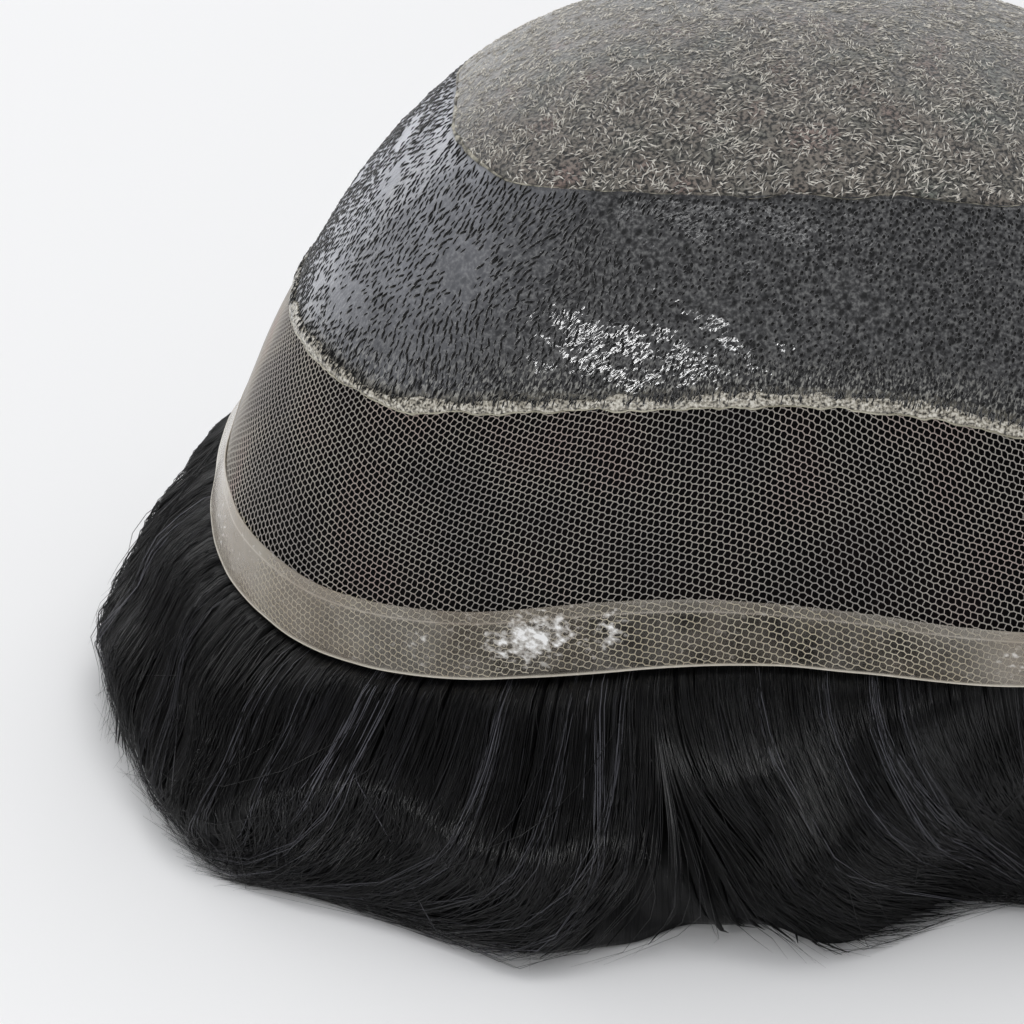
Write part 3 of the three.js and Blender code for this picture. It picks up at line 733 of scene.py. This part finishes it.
bead_bearings = np.linspace(0, 360, BEAD_COLUMNS, endpoint=False)[:, None]
bead_angles = np.linspace(0, 2 * math.pi, BEAD_SIDES, endpoint=False)[None, :]
bead_line, _ = on_base(bead_bearings[:, 0], lace_top(bead_bearings[:, 0]))
bead_width = BEAD_WIDTH * (0.95 + 0.22 * lumps(bead_line, 5 * MM, 31) + 0.1 * lumps(bead_line, 1.5 * MM, 32))
bead_shift = 0.3 * MM * lumps(bead_line, 11 * MM, 33)
bead_climbs = lace_top(bead_bearings) + bead_shift[:, None] + bead_width[:, None] / 2 * np.cos(bead_angles)
bead_rough = 1 + 0.22 * lumps(on_base(bead_bearings, bead_climbs)[0], 0.9 * MM, 34)
bead_corners, _ = on_base(bead_bearings, bead_climbs, BEAD_PROUD * bead_rough * np.sin(bead_angles))
bead, bead_shader = new_finish("cured_bead", Roughness=0.28, Coat_Weight=0.5, Coat_Roughness=0.1)
bead_mottle = grain(bead, 0.45 * MM, 4.0)
feed(bead, bead_shader,
     Base_Color=shades(bead, bead_mottle, [(0.37, "2d2a26"), (0.45, "827d71"), (0.53, "b1ab9d"),
                                           (0.65, "dcd8cd")]),
     Normal=relief(bead, bead_mottle, 0.16 * MM), Coat_Normal=relief(bead, bead_mottle, 0.05 * MM))
piece("edge_bead", bead_corners, closed_grid(BEAD_COLUMNS, BEAD_SIDES), bead, ["ring_bead"])

lip_climbs = lace_top(bead_bearings) + bead_shift[:, None] - bead_width[:, None] * 0.42
lip_climbs = lip_climbs + LIP_WIDTH / 2 * np.cos(bead_angles[:, ::2])
lip_corners, _ = on_base(bead_bearings, lip_climbs, 0.25 * MM + 0.18 * MM * np.sin(bead_angles[:, ::2]))
lip = mottled("cured_lip", 4 * MM, [(0.35, "8f8a78"), (0.6, "bdb8a6")], 0.5 * MM, 0.05 * MM,
              Roughness=0.25, Coat_Weight=0.4)
piece("bead_lip", lip_corners, closed_grid(BEAD_COLUMNS, BEAD_SIDES // 2), lip, ["ring_bead"])

cross_luck = np.random.default_rng(41)
cross_bearing = cross_luck.uniform(0, 360, CROSSING_HAIRS)
is_low = cross_luck.uniform(0, 1, CROSSING_HAIRS) < ON_BEAD_SHARE
low_rise = cross_luck.uniform(-0.2, 1.3, CROSSING_HAIRS)
high_rise = 0.3 + 6.6 * cross_luck.uniform(0, 1, CROSSING_HAIRS) ** 1.1
cross_rise = np.where(is_low, low_rise, high_rise) * MM
cross_middle, cross_normal = on_base(cross_bearing, lace_top(cross_bearing) + cross_rise)
on_bead = np.clip(1 - np.abs(cross_rise - 0.4 * MM) / MM, 0, 1)
cross_middle = cross_middle + cross_normal * (gauze_lift(cross_middle) + 0.55 * MM * on_bead)[:, None]
cross_lean = np.radians(76) + cross_luck.normal(0, 0.22, CROSSING_HAIRS)
cross_corners, cross_faces = grains(cross_middle, cross_normal, cross_lean,
                                    cross_luck.uniform(0.8, 2.1, CROSSING_HAIRS) * MM,
                                    cross_luck.uniform(0.16, 0.3, CROSSING_HAIRS) * MM,
                                    np.full(CROSSING_HAIRS, 0.13 * MM))
piece("crossing_hairs", cross_corners, cross_faces, knotted)

# The crown is a cap of fine monofilament net. The cut ends of its knots stand in it as short pale
# fibres that lie over in changing directions.
CROWN_COLUMNS = 200
CROWN_ROWS = 36
CROWN_INNERMOST = 0.004
CROWN_WALL = 0.9 * MM
CROWN_INNER_STEP = 6
FIBRE_REACH = 0.62
CROWN_FIBRES = 15500
FIBRE_LENGTH = 1.3 * MM
FIBRE_WIDTH = 0.2 * MM

crown_bearings = np.linspace(0, 360, CROWN_COLUMNS, endpoint=False)[None, :]
crown_edge = down_after(crown_bearings, coated_top(crown_bearings))
crown_shares = np.linspace(CROWN_INNERMOST, 1, CROWN_ROWS)[:, None]
crown_outer = skin(crown_bearings, crown_edge * crown_shares)
crown_normals = skin_normal(crown_bearings, crown_edge * crown_shares)
crown_lift = 0.08 * MM * (lumps(crown_outer, 2.5 * MM, 51) + lumps(crown_outer, 9 * MM, 52)) + 0.12 * MM
crown_outer = crown_outer + crown_normals * crown_lift[..., None]
crown_inner = (crown_outer - crown_normals * CROWN_WALL)[::-CROWN_INNER_STEP]
crown_corners = np.concatenate([crown_outer, crown_inner])
crown_faces = closed_grid(len(crown_corners), CROWN_COLUMNS)
mono, mono_shader = new_finish("monofilament", Roughness=0.65, Sheen_Weight=0.8, Sheen_Roughness=0.5)
mono_fine = grain(mono, 0.5 * MM, 4.0)
mono_patch = shades(mono, grain(mono, 7 * MM), [(0.3, "70736b"), (0.45, "746f66"), (0.6, "7c736a"),
                                                (0.7, "85736b")])
mono_speck = mixed(mono, levels(mono, mono_fine, 1.0, 0.0, (0.41, 0.59)), mono_patch, colour("1b1a18"))
feed(mono, mono_shader, Base_Color=mono_speck, Normal=relief(mono, mono_fine, 0.25 * MM))
piece("mono_cap", crown_corners, crown_faces, mono, ["mono_crown"])

fibre_luck = np.random.default_rng(61)
fibre_plan = fibre_luck.uniform(-1, 1, (CROWN_FIBRES * 2, 2)) * FIBRE_REACH
fibre_plan = fibre_plan * np.array([RIM_HALF_LENGTH, RIM_HALF_WIDTH])
fibre_bearing = np.degrees(np.arctan2(fibre_plan[:, 1], fibre_plan[:, 0]))
fibre_reach = np.linalg.norm(fibre_plan, axis=1) / np.linalg.norm(plan(fibre_bearing, 1.0), axis=1)
share_downs = np.linspace(0, 1, 400)
fibre_down = np.interp(fibre_reach, plan_share(share_downs), share_downs)
on_crown = fibre_down < down_after(fibre_bearing, coated_top(fibre_bearing) + 0.1 * MM)
fibre_clump = lumps(skin(fibre_bearing, fibre_down), 2.0 * MM, 63)
on_crown &= fibre_clump + fibre_luck.normal(0, 0.3, len(fibre_clump)) > -0.45
fibre_bearing, fibre_down = fibre_bearing[on_crown][:CROWN_FIBRES], fibre_down[on_crown][:CROWN_FIBRES]
fibre_normal = skin_normal(fibre_bearing, fibre_down)
fibre_middle = skin(fibre_bearing, fibre_down) + fibre_normal * 0.22 * MM
fibre_turn = 0.6 + 0.9 * lumps(fibre_middle, 6 * MM, 62) + fibre_luck.normal(0, 0.75, len(fibre_middle))
fibre_way = np.stack([np.cos(fibre_turn), np.sin(fibre_turn), 0 * fibre_turn], -1)
fibre_way = unit(fibre_way - fibre_normal * np.sum(fibre_way * fibre_normal, -1, keepdims=True))
fibre_side = np.cross(fibre_normal, fibre_way)
fibre_half = (FIBRE_LENGTH / 2 * fibre_luck.uniform(0.6, 1.3, len(fibre_middle)))[:, None]
fibre_arch = fibre_normal * (0.1 * MM * fibre_luck.uniform(0.3, 1.6, (len(fibre_middle), 1)))
fibre_corners = np.stack([
    fibre_middle - fibre_way * fibre_half - fibre_normal * 0.08 * MM,
    fibre_middle + fibre_way * fibre_half - fibre_normal * 0.02 * MM,
    fibre_middle + fibre_side * FIBRE_WIDTH / 2,
    fibre_middle - fibre_side * FIBRE_WIDTH / 2,
    fibre_middle + fibre_arch,
], axis=1)
fibre_sides = np.array([[0, 4, 2], [0, 3, 4], [0, 2, 3], [1, 2, 4], [1, 4, 3], [1, 3, 2]])
fibre_faces = repeated(fibre_sides, fibre_corners)
stub = mottled("pale_fibre", 1.2 * MM, [(0.32, "807a70"), (0.48, "bdb7ab"), (0.62, "e9e4d8")],
               0.1 * MM, 0.02 * MM, Roughness=0.45, Sheen_Weight=0.7, Sheen_Roughness=0.5)
piece("crown_fibres", fibre_corners, fibre_faces, stub, ["mono_crown"])

# The crown seam is a thin cream line of stitching and adhesive between the crown and the coated ring.
# It shows at the left, and elsewhere the crown's fibres lie over it.
SEAM_COLUMNS = 720
SEAM_WIDTH = 0.6 * MM
SEAM_PROUD = 0.22 * MM
SEAM_ROWS = [
    # bearing, share of the width
    (0, 0.6), (60, 0.6), (120, 0.7), (165, 1), (180, 1), (195, 1.2), (208, 0.9), (216, 0.4), (228, 0.15),
    (270, 0.1), (300, 0.12), (330, 0.4),
]
seam_bearings = np.linspace(0, 360, SEAM_COLUMNS, endpoint=False)[:, None]
seam_angles = np.linspace(0, 2 * math.pi, 8, endpoint=False)[None, :]
seam_line, _ = on_base(seam_bearings[:, 0], coated_top(seam_bearings[:, 0]))
seam_wide = SEAM_WIDTH * round_rows(SEAM_ROWS, 1, seam_bearings[:, 0])
seam_wide = seam_wide * (1 + 0.35 * lumps(seam_line, 2 * MM, 71))
seam_climbs = coated_top(seam_bearings) + 0.25 * MM * lumps(seam_line, 6 * MM, 72)[:, None]
seam_climbs = seam_climbs + seam_wide[:, None] / 2 * np.cos(seam_angles)
seam_corners, _ = on_base(seam_bearings, seam_climbs, SEAM_PROUD * np.sin(seam_angles))
stitched, stitched_shader = new_finish("stitched_cream", Roughness=0.45)
feed(stitched, stitched_shader,
     Base_Color=shades(stitched, grain(stitched, 1.2 * MM, 4.0),
                       [(0.38, "35332e"), (0.5, "837f72"), (0.65, "b9b4a4")]),
     Normal=relief(stitched, grain(stitched, 0.4 * MM), 0.12 * MM))
piece("crown_stitching", seam_corners, closed_grid(SEAM_COLUMNS, seam_corners.shape[1]), stitched,
      ["crown_seam"])

# The hair is knotted all over the base and pulled through to its inside, so it lies against the dome
# in a dark combed layer that shows through the net.
LAYER_COLUMNS = 240
LAYER_ROWS = 28
LAYER_TOP = 0.55 * MM
LAYER_DEPTH = 9.6 * MM
LAYER_COMB = 0.22 * MM
LAYER_INNER_STEP = 5

layer_bearings = np.linspace(0, 360, LAYER_COLUMNS, endpoint=False)[None, :]
layer_shares = np.linspace(CROWN_INNERMOST, 1, LAYER_ROWS)[:, None]
layer_outer = skin(layer_bearings, layer_shares)
layer_normals = skin_normal(layer_bearings, layer_shares)
layer_comb = np.sin(np.radians(layer_bearings) * 60 + 5 * layer_shares) * LAYER_COMB * layer_shares
layer_comb = layer_comb + LAYER_COMB * lumps(layer_outer, 4 * MM, 81)
layer_outer = layer_outer - layer_normals * (LAYER_TOP + 1.2 * LAYER_COMB - layer_comb)[..., None]
layer_inner = (layer_outer - layer_normals * (LAYER_DEPTH - LAYER_TOP))[::-LAYER_INNER_STEP]
layer_corners = np.concatenate([layer_outer, layer_inner])
layer_faces = closed_grid(len(layer_corners), LAYER_COLUMNS)
lining_hair, lining_shader = new_finish("inner_black_hair", Roughness=0.6, Specular_IOR_Level=0.1)
feed(lining_hair, lining_shader,
     Base_Color=shades(lining_hair, grain(lining_hair, 12 * MM),
                       [(0.35, "040304"), (0.5, "070506"), (0.65, "0d0708")]),
     Normal=relief(lining_hair, grain(lining_hair, 1.0 * MM, 4.0, (3.0, 3.0, 0.4)), 0.2 * MM))
piece("combed_layer", layer_corners, layer_faces, lining_hair, ["inner_hair"])

# The hair comes out under the rim all round, bulges, and lies on the surface in curling locks. Each
# fringe is a dark backing, combed locks laid over it in three depths, and loose single hairs.
HAIR_SPREAD = 22.5 * MM
FOOT_ROWS = [
    # bearing, reach of the hair's foot as a share of its spread
    (8, 0.88), (22, 0.95), (32, 0.85), (46, 0.95), (60, 0.85), (73, 0.95), (86, 0.8), (98, 0.9), (110, 0.75),
    (122, 0.9), (133, 0.8), (142, 0.92), (151, 0.82), (161, 0.8), (172, 0.74), (184, 0.82), (194, 0.78),
    (204, 0.8), (214, 1.02), (221, 0.95), (228, 0.9), (235, 1), (240, 1.12), (246, 1.2), (259, 0.85),
    (270, 0.75), (281, 0.8), (290, 0.45), (298, 0.15), (307, 0.25), (317, 0.6), (325, 0.9), (334, 0.85),
    (346, 0.95), (358, 0.85),
]
SWAY_ROWS = [
    # bearing of the root, degrees that the hair swings round by its tip, degrees that its end curls back
    (0, 8, -4), (40, 10, 4), (80, 8, -6), (110, 4, -4), (140, -2, -4), (158, -6, 0), (172, 0, 0), (185, 8, 0),
    (200, 11, -3), (212, 9, -6), (222, 4, -10), (232, 2, -16), (242, 8, -26), (250, 13, -34), (255, 14, -34),
    (256.5, 30, 0), (259, 34, -2), (264, 35, -2), (270, 34, 0), (280, 31, -2), (292, 22, -4), (306, 12, -6),
    (322, 6, 6), (340, 6, 6),
]
FALL_ROWS = [
    # share of the way along a hair, share of its reach, share of its height
    (-0.1, -0.2, 1.01), (0, -0.05, 1), (0.06, 0.08, 0.985), (0.14, 0.23, 0.92), (0.25, 0.4, 0.81),
    (0.45, 0.72, 0.58), (0.7, 0.96, 0.27), (0.88, 1, 0.08), (1, 0.98, 0.012),
    (1.15, 1.03, 0.01), (1.3, 1.1, 0.01),
]
ROOT_DROP = 0.3 * MM
FRINGES = [
    # name of its locks and of its strands, the part that it stands for, bearings from and to, locks, strands
    ("front_fringe", "front_strands", "hair_front", 214, 326, 310, 2600),
    ("left_fringe", "left_strands", "hair_left", 146, 214, 150, 800),
    ("back_fringe", "back_strands", "hair_back", 34, 146, 150, 420),
    ("right_fringe", "right_strands", "hair_right", -34, 34, 100, 300),
]
LOCK_RINGS = 13
LOCK_SIDES = 8
STRAND_RINGS = 8
HAIR_WAVE = 1.3 * MM
WAVES_DOWN = 14
WAVE_SHIFTS = [
    # how much, times round the dome, start
    (2.2, 5, 0), (1.4, 13, 1),
]
WISP_SHARE = 0.65
STRANDS_IN_WISP = 13
STRAY_SHARE = 0.1
WISP_HALF_WIDTH = 0.45
HAIR_WIDTH = 0.14 * MM
STREAK_WIDTH = 0.16 * MM
DEGREE_AT_RIM = 1.3 * MM
BACKING_DEPTH = 4.4 * MM
CROSSING_SHARE = 0.05


def hair_point(root, here, depth, swing, curl):
    """A point of a hair: here is the share of its fall, and depth is in from the fringe's face."""
    root, here, depth, swing, curl = np.broadcast_arrays(root, here, depth, swing, curl)
    fall = np.array(FALL_ROWS)
    bearing = root + swing * here ** 2 + curl * here ** 4
    reach = HAIR_SPREAD * round_rows(FOOT_ROWS, 1, bearing)
    phase = WAVES_DOWN * here
    for much, times_round, late in WAVE_SHIFTS:
        phase = phase + much * np.sin(np.radians(times_round * bearing) + late)
    wave = HAIR_WAVE * np.sin(phase) * np.clip(2.2 * here, 0, 1)
    out = reach * smooth_through(fall[:, 0], fall[:, 1], here) - depth + wave
    foot = plan(bearing, 1.0)
    side = unit(plan(bearing + 1, 1.0) - plan(bearing - 1, 1.0))
    outward = np.stack([side[..., 1], -side[..., 0], 0 * side[..., 0]], -1)
    point = foot + outward * out[..., None] + DOME_MIDDLE
    height = (rim_height(root) - ROOT_DROP) * smooth_through(fall[:, 0], fall[:, 2], here)
    point[..., 2] = np.maximum(height - 0.25 * depth * (1 - np.clip(here, 0, 1)), 0.15 * MM)
    return point


black_hair, hair_shader = new_finish("black_hair", Specular_IOR_Level=0.35)
hair_noise = node(black_hair, "TexNoise", Vector=noted(black_hair, "comb"), Scale=1.0, Detail=3.0)
hair_streak = hair_noise.outputs["Fac"]
feed(black_hair, hair_shader,
     Base_Color=shades(black_hair, hair_streak, [(0.3, "040405"), (0.5, "0a0a0b"), (0.7, "161618")]),
     Roughness=levels(black_hair, hair_streak, 0.5, 0.3), Normal=relief(black_hair, hair_streak, 0.2 * MM))

strand_hair, strand_shader = new_finish("strand_hair", Roughness=0.28, Specular_IOR_Level=0.9)
strand_tone = node(strand_hair, "SeparateXYZ", Vector=noted(strand_hair, "shine")).outputs["X"]
feed(strand_hair, strand_shader,
     Base_Color=shades(strand_hair, strand_tone,
                       [(0.3, "0a0a0b"), (0.7, "161618"), (0.9, "2e2e32"), (1.0, "66666d")]),
     Normal=relief(strand_hair, grain(strand_hair, 0.2 * MM), 0.01 * MM))

chance = np.random.default_rng(91)


def fringe_locks(start, end, count):
    """Combed locks between two bearings, each a flat tapering tube that follows the fall of the hair."""
    depth = chance.choice([0.4, 1.7, 3.2], count, p=[0.5, 0.27, 0.23]) * MM
    root = start + (end - start) * (np.arange(count) + chance.uniform(0, 1, count)) / count
    half_width = chance.uniform(0.4, 1.0, count)[:, None, None]
    thickness = (chance.uniform(0.5, 1.0, count) * MM)[:, None, None]
    steady = np.interp(depth, [0.4 * MM, 3.2 * MM], [1, 0.3])
    swing = (round_rows(SWAY_ROWS, 1, root) * steady + chance.normal(0, 1.8, count))[:, None, None]
    curl = (round_rows(SWAY_ROWS, 2, root) * steady + chance.normal(0, 1.8, count))[:, None, None]
    length = chance.uniform(0.88, 1.02, count)[:, None, None]
    along = np.linspace(0, 1, LOCK_RINGS)[None, :, None]
    angle = np.linspace(0, 2 * math.pi, LOCK_SIDES, endpoint=False)[None, None, :]
    comb = 1 + 0.15 * np.cos(angle * 4 + chance.uniform(0, 6, (count, 1, 1)))
    taper = np.interp(along, [0, 0.12, 0.5, 0.8, 1], [0.8, 1, 1, 0.7, 0.08])
    roots = root[:, None, None] + half_width * taper * np.cos(angle) * comb
    depths = depth[:, None, None] + thickness * (1 - taper * np.sin(angle) * comb)
    corners = hair_point(roots, along * length, depths, swing, curl)
    hairs_round = half_width * DEGREE_AT_RIM / STREAK_WIDTH * angle
    own_place = np.arange(count)[:, None, None] * 7.3
    comb_note = np.stack(np.broadcast_arrays(hairs_round, along * 4, own_place), -1)
    faces = repeated(closed_grid(LOCK_RINGS, LOCK_SIDES, False), corners)
    return corners.reshape(-1, 3), faces, comb_note.reshape(-1, 3)


def loose_strands(start, end, count):
    """Single hairs over the locks, three-sided and drawn out to a point. A few cross the rest."""
    wisps = count // STRANDS_IN_WISP
    wisp = chance.integers(0, wisps, count)
    in_wisp = chance.uniform(0, 1, (count, 1)) < WISP_SHARE
    wisp_root = chance.uniform(start, end, wisps)[wisp][:, None]
    wisp_turns = chance.normal(0, 3.0, (2, wisps))[:, wisp, None]
    root = np.where(in_wisp, wisp_root + chance.normal(0, WISP_HALF_WIDTH, (count, 1)),
                    chance.uniform(start, end, (count, 1)))
    depth = chance.uniform(-0.15, 0.5, (count, 1)) * MM
    crossing = chance.normal(0, 16, (count, 1)) * (chance.uniform(0, 1, (count, 1)) < CROSSING_SHARE)
    loose_turns = chance.normal(0, 2.8, (2, count, 1))
    turns = np.where(in_wisp, wisp_turns + 0.3 * loose_turns, loose_turns)
    swing = round_rows(SWAY_ROWS, 1, root) + turns[0] + crossing
    curl = round_rows(SWAY_ROWS, 2, root) + turns[1]
    first = chance.uniform(-0.04, 0.3, (count, 1))
    last = chance.uniform(0.6, 1.1, (count, 1))
    tone = np.where(in_wisp, chance.uniform(0, 1, wisps)[wisp][:, None],
                    0.6 * chance.uniform(0, 1, (count, 1)))
    along = np.linspace(0, 1, STRAND_RINGS)[None, :]
    is_stray = chance.uniform(0, 1, (count, 1)) < STRAY_SHARE
    sprung = depth + chance.normal(-0.1, 0.35, (count, 1)) * MM * along ** 2
    sprung = sprung - chance.exponential(0.7, (count, 1)) * MM * is_stray * along ** 2
    middle = hair_point(root, first + (last - first) * along, sprung, swing, curl)
    run = unit(np.gradient(middle, axis=1))
    outward = unit(middle - DOME_MIDDLE - np.array([0, 0, 0.5 * RIM_HEIGHT]))
    across = unit(np.cross(run, outward))
    through = np.cross(run, across)
    wide = HAIR_WIDTH / 2 * np.interp(along, [0, 0.15, 0.7, 1], [0.3, 1, 0.9, 0.12])[..., None]
    spokes = [(math.cos(turn), math.sin(turn)) for turn in np.radians([90, 210, 330])]
    corners = np.stack([middle + (across * x - through * y) * wide for x, y in spokes], axis=2)
    corners[..., 2] = np.maximum(corners[..., 2], 0.05 * MM)
    faces = repeated(closed_grid(STRAND_RINGS, 3, False), corners)
    shine_note = np.broadcast_to(tone[:, :, None, None], corners.shape)
    return corners.reshape(-1, 3), faces, shine_note.reshape(-1, 3)


def fringe_backing(start, end):
    """The dark body of a fringe behind its locks, a closed ring of corners at each bearing."""
    bearings = np.arange(start - 1, end + 1.01, 1.0)[:, None]
    along = np.linspace(0, 0.97, 18)[None, :]
    face = hair_point(bearings, along, BACKING_DEPTH, 0, 0)
    inner = np.broadcast_to(hair_point(bearings, 0, BACKING_DEPTH + 2 * MM, 0, 0), face.shape).copy()
    inner[..., 2] = face[..., 2]
    corners = np.concatenate([face, inner[:, ::-3]], axis=1)
    comb_note = np.stack(np.broadcast_arrays(bearings * 6, 0.1 * bearings, 0 * corners[..., 0]), -1)
    faces = closed_grid(len(bearings), corners.shape[1], False)
    return corners.reshape(-1, 3), faces, comb_note.reshape(-1, 3)


for locks_name, strands_name, stands_for, start, end, lock_count, strand_count in FRINGES:
    backing, locks = fringe_backing(start, end), fringe_locks(start, end, lock_count)
    fringe_faces = np.concatenate([backing[1], locks[1] + len(backing[0])])
    piece(locks_name, np.concatenate([backing[0], locks[0]]), fringe_faces, black_hair,
          [stands_for], {"comb": np.concatenate([backing[2], locks[2]])})
    strand_corners, strand_faces, shine_note = loose_strands(start, end, strand_count)
    piece(strands_name, strand_corners, strand_faces, strand_hair, [stands_for],
          {"shine": shine_note})
